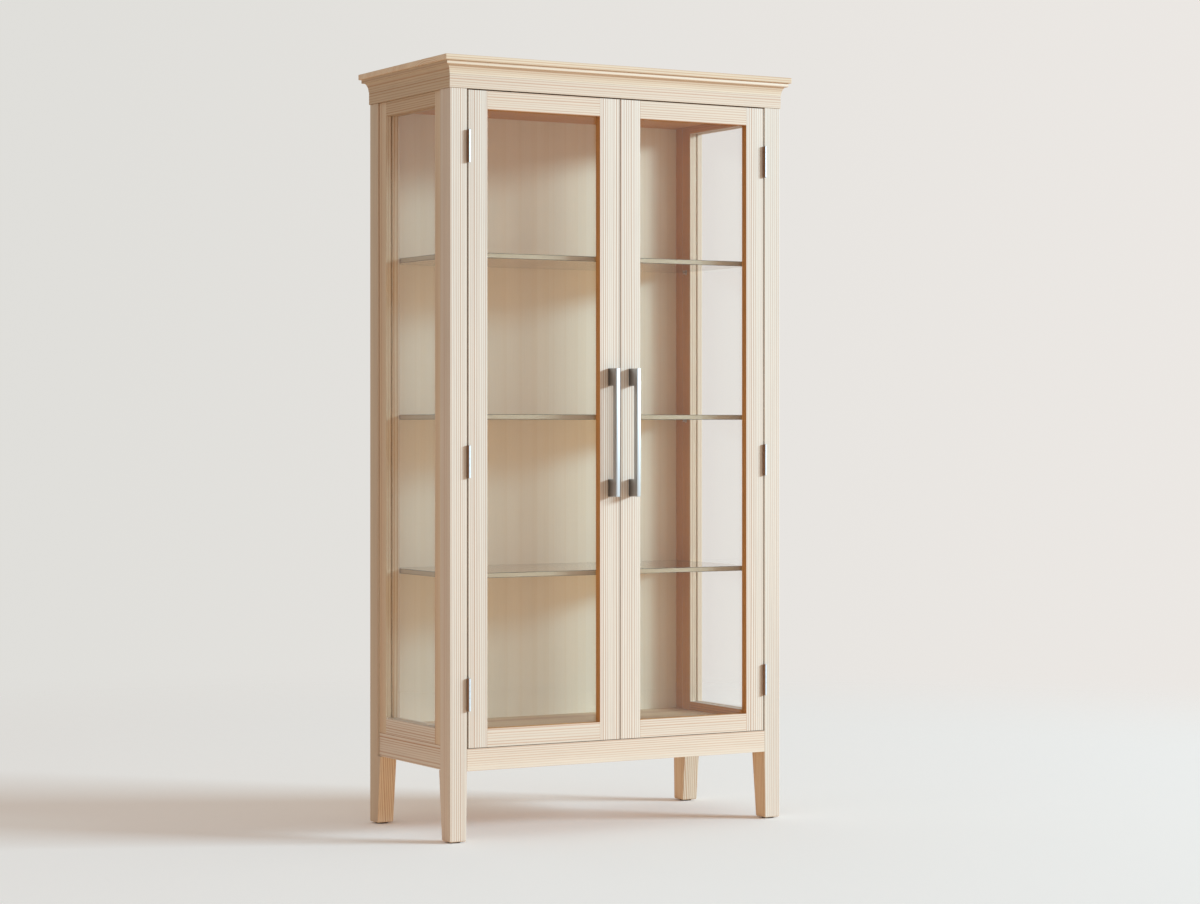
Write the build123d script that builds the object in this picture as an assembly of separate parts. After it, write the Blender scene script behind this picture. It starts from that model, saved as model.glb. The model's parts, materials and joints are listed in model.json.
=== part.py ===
from build123d import *
import os

# Display cabinet with two framed glass doors, glazed sides, three glass shelves and a stepped crown.
# Millimetres. +X is the viewer's right, -Y is the front, +Z is up.
# The origin is on the floor, at the middle of the space that the closed cabinet takes.

# Driving dimensions of the whole cabinet
height = 1850.0
body_width = 924.0
body_depth = 436.0
crown_reach = 22.0
handle_reach = 40.0

# Posts and legs
post_width = 45.0
front_post_depth = 52.0
rear_post_depth = 43.0
leg_top_depth = 58.0
foot_width = 43.0
foot_depth = 43.0
foot_chamfer = 2.0
edge_radius = 1.2
glide_height = 3.0
glide_radius = 15.0

# Levels of the main horizontal lines
apron_bottom = 168.0
apron_top = 220.5
floor_top = 243.0
side_rail_bottom = 226.0
side_opening_bottom = 264.5
side_opening_top = 1740.0
ceiling_bottom = 1757.5
frieze_bottom = 1774.5
moulding_bottom = 1806.0
band_bottom = 1827.5
top_board_bottom = 1836.5

# Members of the carcass
frame_thickness = 40.0
side_recess = 5.0
side_stile = 37.0
frieze_reach = 2.0
band_reach = 16.0
back_thickness = 6.0
back_inset = 6.0
back_groove = 8.0
groove_play = 0.2
door_stop_gap = 0.5

# Glazing
pane_thickness = 4.0
side_pane_depth = 22.5
side_groove_width = 5.5
side_groove_depth = 7.0
pane_grip = 6.0

# Shelves
shelf_bottoms = {"lower_shelf": 618.0, "middle_shelf": 996.0, "upper_shelf": 1380.5}
shelf_thickness = 12.0
shelf_front = 57.0
shelf_clearance = 2.0
shelf_edge = 1.0
pin_radius = 2.5
pin_in_wood = 9.0
pin_out = 9.0
pin_collar_radius = 4.5
pin_collar = 1.5

# Doors
door_thickness = 22.0
hinge_gap = 4.0
meeting_gap = 3.0
door_bottom = 222.0
door_top = 1771.5
hinge_stile = 50.0
meeting_stile = 55.0
door_opening_bottom = 265.5
door_opening_top = 1727.5
door_reveal = 14.0
rebate = 8.0
bead_play = 0.2
door_edge = 0.8

# Hinges
hinge_heights = [348.0, 896.0, 1638.5]
hinge_length = 76.0
leaf_thickness = 1.6
leaf_depth = 20.0
knuckle_radius = 4.5
axis_reach = 4.7
hinge_pin_radius = 2.5
hinge_pin_play = 0.05
knuckle_count = 5
knuckle_gap = 0.3
pin_head_radius = 4.0
pin_head = 0.8
leaf_screw_steps = [-26.0, 0.0, 26.0]
leaf_screw_depth = 11.0
leaf_setback = 0.1
neck_depth = 1.6
screw_head_radius = 3.4
screw_radius = 1.5
screw_length = 15.0
hole_run_out = 1.0

# Handles
handle_bottom = 809.5
handle_length = 310.0
handle_width = 10.0
bar_depth = 16.0
foot_height = 42.0
handle_edge = 1.0
bolt_radius = 2.0
bolt_in_handle = 14.0
bolt_head_radius = 4.0
bolt_head = 2.4

# Ball catches
catch_radius = 4.0
catch_depth = 12.0
catch_offset = 20.0
ball_radius = 2.8
ball_rise = 2.7
dimple_radius = 3.2
dimple_depth = 1.2

# Places worked out from the dimensions above
total_depth = handle_reach + body_depth + crown_reach
front_y = handle_reach - total_depth / 2
rear_y = front_y + body_depth
middle_y = (front_y + rear_y) / 2
half_width = body_width / 2
inner_x = half_width - post_width
back_front_y = rear_y - back_inset - back_thickness
stile_front_y = front_y + front_post_depth
stile_rear_y = rear_y - rear_post_depth
opening_front_y = stile_front_y + side_stile
opening_rear_y = stile_rear_y - side_stile
side_outer_x = half_width - side_recess
side_inner_x = side_outer_x - frame_thickness
pane_x = half_width - side_pane_depth
door_back_y = front_y + door_thickness
stop_y = door_back_y + door_stop_gap
door_outer_x = inner_x - hinge_gap
door_inner_x = meeting_gap / 2
opening_outer_x = door_outer_x - hinge_stile
opening_inner_x = door_inner_x + meeting_stile
hinge_x = inner_x - hinge_gap / 2
hinge_y = front_y - axis_reach
handle_x = door_inner_x + meeting_stile / 2


def block(x_from, x_to, y_from, y_to, z_from, z_to):
    """A box between two corners."""
    box = Box(x_to - x_from, y_to - y_from, z_to - z_from, align=(Align.MIN, Align.MIN, Align.MIN))
    return Pos(x_from, y_from, z_from) * box


def eased(solid, axis, radius):
    """The solid with its edges along one axis rounded."""
    return fillet(solid.edges().filter_by(axis), radius)


def rod(radius, x_from, x_to, y, z):
    """A round rod along X."""
    cylinder = Cylinder(radius, x_to - x_from, align=(Align.CENTER, Align.CENTER, Align.MIN))
    return Pos(x_from, y, z) * Rot(0, 90, 0) * cylinder


def bolt_rod(radius, x, y_from, y_to, z):
    """A round rod along Y."""
    cylinder = Cylinder(radius, y_to - y_from, align=(Align.CENTER, Align.CENTER, Align.MIN))
    return Pos(x, y_from, z) * Rot(-90, 0, 0) * cylinder


def mirrored(solid):
    """The left-hand piece turned into its right-hand twin."""
    return mirror(solid, about=Plane.YZ)


def save(name, solids):
    """Writes one node, of one solid or of several separate ones."""
    pieces = solids if isinstance(solids, list) else [solids]
    shapes = [solid for piece in pieces for solid in piece.solids()]
    node = shapes[0] if len(shapes) == 1 else Compound(children=shapes)
    export_step(node, os.path.join("parts", name + ".step"))


def save_pair(name, solid):
    """Writes a left piece and its mirror image."""
    save("left_" + name, solid)
    save("right_" + name, mirrored(solid))


# Posts: a square upper part, and a leg whose two inner faces lean in towards the foot.
def leg(depth_sign, face_y):
    """The tapered leg of a left post, with its outer faces upright."""
    sections = []
    for width, depth, z in ((post_width, leg_top_depth, apron_bottom), (foot_width, foot_depth, glide_height)):
        centre = Pos(-half_width + width / 2, face_y + depth_sign * depth / 2, z)
        sections.append(centre * Rectangle(width, depth))
    tapered = loft(sections, ruled=True)
    sole = tapered.faces().sort_by(Axis.Z)[0]
    return chamfer(sole.edges(), foot_chamfer)


def left_front_post():
    upper = block(-half_width, -inner_x, front_y, stile_front_y, apron_bottom, frieze_bottom)
    return eased(upper, Axis.Z, edge_radius) + leg(1, front_y) - frame_screws()


def left_rear_post():
    upper = block(-half_width, -inner_x, stile_rear_y, rear_y, apron_bottom, frieze_bottom)
    groove = block(
        -inner_x - back_groove,
        -inner_x,
        back_front_y - groove_play,
        back_front_y + back_thickness + groove_play,
        apron_top,
        frieze_bottom,
    )
    return eased(upper, Axis.Z, edge_radius) + leg(-1, rear_y) - groove


def foot_glides():
    glides = []
    for side in (-1, 1):
        for y in (front_y + foot_depth / 2, rear_y - foot_depth / 2):
            disc = Cylinder(glide_radius, glide_height, align=(Align.CENTER, Align.CENTER, Align.MIN))
            glides.append(Pos(side * (half_width - foot_width / 2), y, 0) * disc)
    return glides


# Aprons between the legs
def cross_apron(y_from, y_to):
    bar = block(-inner_x, inner_x, y_from, y_to, apron_bottom, apron_top)
    return eased(bar, Axis.X, edge_radius)


def left_apron():
    bar = block(-side_outer_x, -side_inner_x, stile_front_y, stile_rear_y, apron_bottom, side_rail_bottom)
    return eased(bar, Axis.Y, edge_radius)


# Glazed side frames, with the pane held in a groove all round
def side_groove():
    return block(
        -pane_x - side_groove_width / 2,
        -pane_x + side_groove_width / 2,
        opening_front_y - side_groove_depth,
        opening_rear_y + side_groove_depth,
        side_opening_bottom - side_groove_depth,
        side_opening_top + side_groove_depth,
    )


def left_side_stile(y_from, y_to, pin_y):
    stile = block(-side_outer_x, -side_inner_x, y_from, y_to, side_rail_bottom, frieze_bottom)
    stile = eased(stile, Axis.Z, edge_radius) - side_groove()
    for bottom in shelf_bottoms.values():
        pin_z = bottom - pin_radius
        stile -= rod(pin_radius, -side_inner_x - pin_in_wood, -side_inner_x, pin_y, pin_z)
    return stile


def left_side_rail(z_from, z_to):
    rail = block(-side_outer_x, -side_inner_x, opening_front_y, opening_rear_y, z_from, z_to)
    return eased(rail, Axis.Y, edge_radius) - side_groove()


def left_side_pane():
    return block(
        -pane_x - pane_thickness / 2,
        -pane_x + pane_thickness / 2,
        opening_front_y - pane_grip,
        opening_rear_y + pane_grip,
        side_opening_bottom - pane_grip,
        side_opening_top + pane_grip,
    )


# Floor, ceiling and back
def level_panel(z_from, z_to):
    return block(-inner_x, inner_x, stop_y, back_front_y, z_from, z_to)


def back_panel():
    reach = inner_x + back_groove - 1
    return block(-reach, reach, back_front_y, back_front_y + back_thickness, apron_top, frieze_bottom)


# Frieze and crown. Each board is made along X for a side that faces -Y, cut to its mitres and then turned.
sides = {
    "front": (Pos(0, front_y, 0), body_width),
    "rear": (Pos(0, rear_y, 0) * Rot(0, 0, 180), body_width),
    "left": (Pos(-half_width, middle_y, 0) * Rot(0, 0, -90), body_depth),
    "right": (Pos(half_width, middle_y, 0) * Rot(0, 0, 90), body_depth),
}


def mitre_wedge(run):
    """The plan of one side between its two mitres, from outside the crown to inside the frieze."""
    outer = run / 2 + crown_reach
    inner = run / 2 - frame_thickness
    corners = [(-outer, -crown_reach), (outer, -crown_reach), (inner, frame_thickness), (-inner, frame_thickness)]
    return Pos(0, 0, frieze_bottom) * extrude(make_face(Polyline(*corners, close=True)), height - frieze_bottom)


def frieze_board(run):
    reach = run / 2 + crown_reach
    board = block(-reach, reach, -frieze_reach, frame_thickness - frieze_reach, frieze_bottom, top_board_bottom)
    return board & mitre_wedge(run)


def crown_moulding(run):
    """A cove under a square band, against the face of the frieze."""
    lip = frieze_reach + 1.0
    cove_top = frieze_reach + 8.0
    cove_middle = (frieze_reach + 2.9, moulding_bottom + 12.5)
    points = {
        "wall_low": (frieze_reach, moulding_bottom),
        "lip": (lip, moulding_bottom),
        "cove_top": (cove_top, band_bottom),
        "band_low": (band_reach, band_bottom),
        "band_high": (band_reach, top_board_bottom),
        "wall_high": (frieze_reach, top_board_bottom),
    }
    outline = Polyline(points["wall_low"], points["lip"])
    outline += ThreePointArc(points["lip"], cove_middle, points["cove_top"])
    outline += Polyline(
        points["cove_top"], points["band_low"], points["band_high"], points["wall_high"], points["wall_low"]
    )
    reach = run / 2 + crown_reach
    section = Plane(origin=(reach, 0, 0), x_dir=(0, -1, 0), z_dir=(-1, 0, 0)) * make_face(outline)
    return extrude(section, 2 * reach) & mitre_wedge(run)


def top_board():
    board = block(
        -half_width - crown_reach,
        half_width + crown_reach,
        front_y - crown_reach,
        rear_y + crown_reach,
        top_board_bottom,
        height,
    )
    return fillet(board.edges(), edge_radius)


def catch_dimples():
    """Two shallow dimples under the front frieze, one over each door's ball catch."""
    dimples = []
    for side in (-1, 1):
        centre_z = frieze_bottom + dimple_depth - dimple_radius
        dimples.append(Pos(side * catch_offset, front_y + door_thickness / 2, centre_z) * Sphere(dimple_radius))
    return dimples


# Glass shelves on round pins
def shelf(bottom):
    reach = inner_x - shelf_clearance
    sheet = block(
        -reach,
        reach,
        front_y + shelf_front,
        back_front_y - shelf_clearance,
        bottom,
        bottom + shelf_thickness,
    )
    return fillet(sheet.edges(), shelf_edge)


front_pin_y = (stile_front_y + opening_front_y) / 2
rear_pin_y = (stile_rear_y + opening_rear_y) / 2


def shelf_pins():
    pins = []
    for bottom in shelf_bottoms.values():
        for y in (front_pin_y, rear_pin_y):
            pin_z = bottom - pin_radius
            pin = rod(pin_radius, -side_inner_x - pin_in_wood, -side_inner_x + pin_out, y, pin_z)
            pin += rod(pin_collar_radius, -side_inner_x, -side_inner_x + pin_collar, y, pin_z)
            pins += [pin, mirrored(pin)]
    return pins


# Butt hinges. The frame leaf lies on the post and has the outer and middle knuckles, which grip the pin.
# The door leaf has the two knuckles between them, which turn on it.
def countersunk_screw(x, y, z, direction):
    """A screw along X with its head at x, driven towards direction."""
    align = (Align.CENTER, Align.CENTER, Align.MIN)
    head = Cone(screw_head_radius, screw_radius, leaf_thickness, align=align)
    shank = Cylinder(screw_radius, screw_length, align=align)
    return Pos(x, y, z) * Rot(0, 90 * direction, 0) * (head + shank)


def hinge_screws(face_x, direction):
    y = front_y + leaf_screw_depth
    return [countersunk_screw(face_x, y, z + step, direction) for z in hinge_heights for step in leaf_screw_steps]


def frame_screws():
    return hinge_screws(-inner_x + leaf_thickness, -1)


def door_screws():
    return hinge_screws(-door_outer_x - leaf_thickness, 1)


def hinge_leaves(x_from, x_to, orders, bore, holes):
    """One leaf of each left hinge, with its own knuckles."""
    leaves = []
    pitch = hinge_length / knuckle_count
    length = pitch - knuckle_gap
    plate_front = front_y + leaf_setback
    align = (Align.CENTER, Align.CENTER, Align.MIN)
    for z in hinge_heights:
        low = z - hinge_length / 2
        leaf = block(x_from, x_to, plate_front, front_y + leaf_depth, low, low + hinge_length)
        for order in orders:
            bottom = low + order * pitch + knuckle_gap / 2
            neck_front = hinge_y + knuckle_radius - neck_depth
            leaf += block(x_from, x_to, neck_front, plate_front, bottom, bottom + length)
            leaf += Pos(-hinge_x, hinge_y, bottom) * Cylinder(knuckle_radius, length, align=align)
        leaf -= Pos(-hinge_x, hinge_y, low) * Cylinder(bore, hinge_length, align=align)
        leaves.append(leaf - holes)
    return leaves


def frame_leaves():
    return hinge_leaves(-inner_x, -inner_x + leaf_thickness, (0, 2, 4), hinge_pin_radius, frame_screws())


def door_leaves():
    bore = hinge_pin_radius + hinge_pin_play
    return hinge_leaves(-door_outer_x - leaf_thickness, -door_outer_x, (1, 3), bore, door_screws())


def hinge_pins():
    pins = []
    align = (Align.CENTER, Align.CENTER, Align.MIN)
    for z in hinge_heights:
        low = z - hinge_length / 2
        pin = Pos(-hinge_x, hinge_y, low) * Cylinder(hinge_pin_radius, hinge_length, align=align)
        for head_z in (low - pin_head, low + hinge_length):
            head = Pos(-hinge_x, hinge_y, head_z) * Cylinder(pin_head_radius, pin_head, align=align)
            pin += head
        pins.append(pin)
    return pins


# Doors. All of these are the left door's pieces; the right door is its mirror image.
def door_rebate():
    """The step behind the opening that the pane and its beads lie in."""
    return block(
        -opening_outer_x - rebate,
        -opening_inner_x + rebate,
        front_y + door_reveal,
        door_back_y,
        door_opening_bottom - rebate,
        door_opening_top + rebate,
    )


def handle_bolt_places():
    return [handle_bottom + foot_height / 2, handle_bottom + handle_length - foot_height / 2]


def door_hinge_stile():
    stile = block(-door_outer_x, -opening_outer_x, front_y, door_back_y, door_bottom, door_top)
    return eased(stile, Axis.Z, door_edge) - door_rebate() - door_screws()


def door_meeting_stile():
    stile = block(-opening_inner_x, -door_inner_x, front_y, door_back_y, door_bottom, door_top)
    stile = eased(stile, Axis.Z, door_edge) - door_rebate()
    for z in handle_bolt_places():
        stile -= bolt_rod(bolt_radius, -handle_x, front_y, door_back_y, z)
    socket = Cylinder(catch_radius, catch_depth, align=(Align.CENTER, Align.CENTER, Align.MAX))
    return stile - Pos(-catch_offset, front_y + door_thickness / 2, door_top) * socket


def door_rail(z_from, z_to):
    rail = block(-opening_outer_x, -opening_inner_x, front_y, door_back_y, z_from, z_to)
    return eased(rail, Axis.X, door_edge) - door_rebate()


def door_pane():
    grip = rebate - 0.5
    return block(
        -opening_outer_x - grip,
        -opening_inner_x + grip,
        front_y + door_reveal,
        front_y + door_reveal + pane_thickness,
        door_opening_bottom - grip,
        door_opening_top + grip,
    )


def door_beads():
    bead_front = front_y + door_reveal + pane_thickness
    low = door_opening_bottom - rebate
    high = door_opening_top + rebate
    left = -opening_outer_x - rebate
    right = -opening_inner_x + rebate
    beads = [
        block(left, left + rebate, bead_front, door_back_y, low, high),
        block(right - rebate, right, bead_front, door_back_y, low, high),
    ]
    for z in (low, high - rebate):
        beads.append(
            block(left + rebate + bead_play, right - rebate - bead_play, bead_front, door_back_y, z, z + rebate)
        )
    return beads


def handle():
    """A flat steel bar on two blocks."""
    side_from = -handle_x - handle_width / 2
    side_to = -handle_x + handle_width / 2
    top = handle_bottom + handle_length
    bar_back = front_y - handle_reach + bar_depth
    piece = block(side_from, side_to, front_y - handle_reach, bar_back, handle_bottom, top)
    for z in (handle_bottom, top - foot_height):
        piece += block(side_from, side_to, bar_back, front_y, z, z + foot_height)
    front_edges = piece.edges().filter_by(Axis.Z).group_by(Axis.Y)[0]
    piece = fillet(front_edges, handle_edge)
    for z in handle_bolt_places():
        piece -= bolt_rod(bolt_radius, -handle_x, front_y - bolt_in_handle - hole_run_out, front_y, z)
    return piece


def handle_bolts():
    bolts = []
    for z in handle_bolt_places():
        shank = bolt_rod(bolt_radius, -handle_x, front_y - bolt_in_handle, door_back_y, z)
        head = bolt_rod(bolt_head_radius, -handle_x, door_back_y, door_back_y + bolt_head, z)
        bolts.append(shank + head)
    return bolts


def ball_catch():
    """A sleeve pressed into the top edge of the door, with its ball standing proud."""
    place = Pos(-catch_offset, front_y + door_thickness / 2, door_top)
    sleeve = Cylinder(catch_radius, catch_depth, align=(Align.CENTER, Align.CENTER, Align.MAX))
    ball = Pos(0, 0, ball_rise - ball_radius) * Sphere(ball_radius)
    return place * (sleeve + ball)


os.makedirs("parts", exist_ok=True)

front_post = left_front_post()
rear_post = left_rear_post()
save("front_left_post", front_post)
save("front_right_post", mirrored(front_post))
save("rear_left_post", rear_post)
save("rear_right_post", mirrored(rear_post))
save("foot_glides", foot_glides())

save("front_apron", cross_apron(front_y, front_y + frame_thickness))
save("rear_apron", cross_apron(rear_y - frame_thickness, rear_y - 2))
save_pair("apron", left_apron())

save_pair("side_front_stile", left_side_stile(stile_front_y, opening_front_y, front_pin_y))
save_pair("side_rear_stile", left_side_stile(opening_rear_y, stile_rear_y, rear_pin_y))
save_pair("side_top_rail", left_side_rail(side_opening_top, frieze_bottom))
save_pair("side_bottom_rail", left_side_rail(side_rail_bottom, side_opening_bottom))
save_pair("side_glass", left_side_pane())

save("floor_panel", level_panel(apron_top, floor_top))
save("ceiling_panel", level_panel(ceiling_bottom, frieze_bottom))
save("back_panel", back_panel())

for side, (place, run) in sides.items():
    board = place * frieze_board(run)
    if side == "front":
        board -= catch_dimples()
    save(side + "_frieze", board)
    save(side + "_crown_moulding", place * crown_moulding(run))
save("top_board", top_board())

for name, bottom in shelf_bottoms.items():
    save(name, shelf(bottom))
save("shelf_pins", shelf_pins())

leaves = frame_leaves()
pins = hinge_pins()
screws = frame_screws()
save("frame_hinge_leaves", leaves + [mirrored(leaf) for leaf in leaves])
save("hinge_pins", pins + [mirrored(pin) for pin in pins])
save("frame_hinge_screws", screws + [mirrored(screw) for screw in screws])

door_pieces = {
    "door_hinge_stile": door_hinge_stile(),
    "door_meeting_stile": door_meeting_stile(),
    "door_top_rail": door_rail(door_opening_top, door_top),
    "door_bottom_rail": door_rail(door_bottom, door_opening_bottom),
    "door_glass": door_pane(),
    "handle": handle(),
    "ball_catch": ball_catch(),
}
for name, piece in door_pieces.items():
    save_pair(name, piece)

door_groups = {
    "door_beads": door_beads(),
    "handle_bolts": handle_bolts(),
    "door_hinge_leaves": door_leaves(),
    "door_hinge_screws": door_screws(),
}
for name, group in door_groups.items():
    save("left_" + name, group)
    save("right_" + name, [mirrored(piece) for piece in group])
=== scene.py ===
import json
import math
import random

import bmesh
import bpy
from mathutils import Matrix, Vector

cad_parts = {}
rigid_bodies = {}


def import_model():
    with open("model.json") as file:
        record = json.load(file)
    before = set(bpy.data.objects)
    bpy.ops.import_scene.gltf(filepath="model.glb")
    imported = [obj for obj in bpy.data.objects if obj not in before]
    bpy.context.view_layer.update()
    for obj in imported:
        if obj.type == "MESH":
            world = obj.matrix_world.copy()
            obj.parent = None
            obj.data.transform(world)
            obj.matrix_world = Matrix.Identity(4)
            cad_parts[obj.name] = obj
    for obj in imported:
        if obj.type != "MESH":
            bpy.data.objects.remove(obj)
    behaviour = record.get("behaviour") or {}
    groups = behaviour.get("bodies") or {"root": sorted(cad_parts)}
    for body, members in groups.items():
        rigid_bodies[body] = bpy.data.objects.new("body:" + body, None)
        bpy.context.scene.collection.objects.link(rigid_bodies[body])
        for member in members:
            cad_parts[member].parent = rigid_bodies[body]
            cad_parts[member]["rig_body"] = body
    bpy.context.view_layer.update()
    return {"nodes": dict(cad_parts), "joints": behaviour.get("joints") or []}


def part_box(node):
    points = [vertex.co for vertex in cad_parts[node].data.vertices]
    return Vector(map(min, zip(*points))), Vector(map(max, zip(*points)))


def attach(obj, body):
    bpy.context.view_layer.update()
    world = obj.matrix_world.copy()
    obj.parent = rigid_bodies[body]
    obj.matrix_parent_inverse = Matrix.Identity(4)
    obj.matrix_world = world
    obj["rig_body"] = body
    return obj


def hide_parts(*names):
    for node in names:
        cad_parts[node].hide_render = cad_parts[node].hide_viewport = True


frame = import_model()
mm = 0.001
weld = 1e-6         # points nearer than this are one point
fineWeld = 1e-7     # the same for small turned parts
scene = bpy.context.scene
sides = {"left": -1, "right": 1}


# Shared helpers

def linearColour(hexText):
    channels = [int(hexText[i:i + 2], 16) / 255 for i in (1, 3, 5)]
    linear = [c / 12.92 if c <= 0.04045 else ((c + 0.055) / 1.055) ** 2.4 for c in channels]
    return (*linear, 1.0)


def addNode(tree, kind, settings=None, **inputs):
    # An input is named by its socket, with _ for a space, or by its number after the word input.
    # A node given as an input is linked by its first output.
    node = tree.nodes.new(kind)
    for name, value in (settings or {}).items():
        setattr(node, name, value)
    for name, value in inputs.items():
        key = int(name[5:]) if name[:5] == "input" else name.replace("_", " ")
        if isinstance(value, bpy.types.Node):
            value = value.outputs[0]
        if isinstance(value, bpy.types.NodeSocket):
            tree.links.new(value, node.inputs[key])
        else:
            node.inputs[key].default_value = value
    return node


def newTree(name):
    material = bpy.data.materials.new(name)
    material.use_nodes = True
    tree = material.node_tree
    tree.nodes.clear()
    return material, tree


def rampStops(node, stops):
    # stops lists (place, colour), at least two.
    ramp = node.color_ramp
    while len(ramp.elements) < len(stops):
        ramp.elements.new(1.0)
    for element, (place, colour) in zip(ramp.elements, stops):
        element.position = place
        element.color = colour
    return node


def easeEdges(bm, width, segments=2, angle=25):
    # Rounds the outward edges, as a pass with sandpaper does.
    sharp = [
        e for e in bm.edges
        if len(e.link_faces) == 2 and e.is_convex and e.calc_face_angle() > math.radians(angle)
    ]
    bmesh.ops.bevel(
        bm, geom=sharp, offset=width, offset_type="OFFSET", segments=segments,
        profile=0.5, affect="EDGES", clamp_overlap=True, material=-1,
    )


def sweepSections(sections):
    # A face from the first section is extruded through the others, point for point.
    bm = bmesh.new()
    base = [bm.verts.new(p) for p in sections[0]]
    cap = bm.faces.new(base)
    for section in sections[1:]:
        cap = bmesh.ops.extrude_discrete_faces(bm, faces=[cap])["faces"][0]
        for vert, point in zip(cap.verts, section):
            vert.co = point
    bm.faces.new(base)
    bmesh.ops.remove_doubles(bm, verts=bm.verts, dist=weld)
    bmesh.ops.dissolve_degenerate(bm, edges=bm.edges, dist=weld)
    bmesh.ops.recalc_face_normals(bm, faces=bm.faces)
    return bm


def boxMesh(low, high):
    bm = bmesh.new()
    bmesh.ops.create_cube(bm, size=1.0)
    bmesh.ops.scale(bm, vec=Vector(high) - Vector(low), verts=bm.verts)
    bmesh.ops.translate(bm, vec=(Vector(low) + Vector(high)) / 2, verts=bm.verts)
    return bm


def makePiece(name, parts, material, node, smooth=None):
    # Joins one or more bmeshes into the piece that stands for the named CAD node.
    # smooth is the angle in degrees below which faces are shaded as one.
    mesh = bpy.data.meshes.new(name)
    joined = bmesh.new()
    for bm in parts if isinstance(parts, list) else [parts]:
        bm.to_mesh(mesh)
        joined.from_mesh(mesh)
        bm.free()
    joined.to_mesh(mesh)
    joined.free()
    piece = bpy.data.objects.new(name, mesh)
    scene.collection.objects.link(piece)
    mesh.materials.append(material)
    if smooth is not None:
        mesh.polygons.foreach_set("use_smooth", [True] * len(mesh.polygons))
        mesh.set_sharp_from_angle(angle=math.radians(smooth))
    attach(piece, frame["nodes"][node]["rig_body"])
    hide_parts(node)
    return piece


def dressNode(node, material):
    piece = frame["nodes"][node]
    piece.data.materials.clear()
    piece.data.materials.append(material)


# Materials

pineLook = {
    "early": "#E3D8CB",        # soft cream wood between the lines
    "late": "#BB8C6D",         # hard pink-brown line at the end of each year
    # painted shade: amber for faces that lie in the cabinet's warm shade
    "shadeAmberEarly": "#D69C5E",
    "shadeAmberLate": "#B6723A",
    "pithAway": (0.13, 0.16),  # how far the log's middle lies off the board's, in metres, both ways across
    "ringWidth": 4.4 * mm,     # real rings are 2 to 4 mm, drawn wider so that they show at this distance
    "wander": 3 * mm,          # how far a line strays from straight
    "bends": 9.0,              # of a line, per metre across the board
    "alongShare": 0.09,        # bends and clouds along the board, as a share of those across it
    "years": 55.0,             # changes in the rings' width, per metre across
    "strengths": 34.0,         # changes from weak to strong lines, per metre across
    "weakLine": 0.25,
    "lineStrength": 0.95,
    "toneSpread": 0.02,        # how much boards differ from each other
    "warmthSpread": 0.4,       # as a share of toneSpread
    "shadeAmberDepth": 0.6 * mm,      # the painted amber shade fades out over this depth
    "fibre": 0.06,             # how much the fibres vary the brightness
    "fibres": (160.0, 3.0),    # steps per metre across and along, three fibres to each: 2 mm streaks
    "clouds": 14.0,            # soft light and dark patches, per metre across
    "cloudTone": (0.965, 1.02),
    "roughness": (0.46, 0.60),
    "lineRise": 0.4,           # how far a line stands up, as a share of the fibres' relief
    "relief": 0.15,
    "reliefDepth": 0.25 * mm,
    "gloss": 0.42,
}
railTone = {"early": "#E0CEBA", "late": "#C28F6F"}     # level boards of the front, a little more yellow
apronTone = {"early": "#E2D3C2", "late": "#C79A7C"}
crownTone = {"early": "#E5D3BC", "late": "#C5946F"}
sideShadeTone = {"early": "#DFCCB3", "late": "#BD8B64"}     # painted shade: the sides' boards a little darker and warmer
# painted shade: the rear posts a little darker
rearShadeTone = {"early": "#D6C7B3", "late": "#B68967"}
legShadeTone = {"early": "#F6E0C2", "late": "#D09D72"}      # shaded inner faces, warm from the floor's light
# painted shade: the floor panel inside, darker and warmer
floorPanelShadeTone = {"early": "#DFC6A6", "late": "#BB8556"}
# painted shade: the boards under the crown and at the top of the sides, darker
upperSideShadeTone = {"early": "#D0BA9F", "late": "#B2815C"}
# painted shade: boards wholly inside take the amber all over
insideShadeTone = {"early": pineLook["shadeAmberEarly"], "late": pineLook["shadeAmberLate"]}
# The back is a veneered board, with a broad and faint figure instead of lines.
veneer = {"early": "#F3E7D1", "late": "#EBD9BB", "ringWidth": 24 * mm, "lineStrength": 0.3, "fibre": 0.02}

# Noise rarely goes past these values, which are mapped to the ends of the range it drives.
plainNoise = {"From_Min": 0.3, "From_Max": 0.7}
fineNoise = {"From_Min": 0.25, "From_Max": 0.75}


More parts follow.
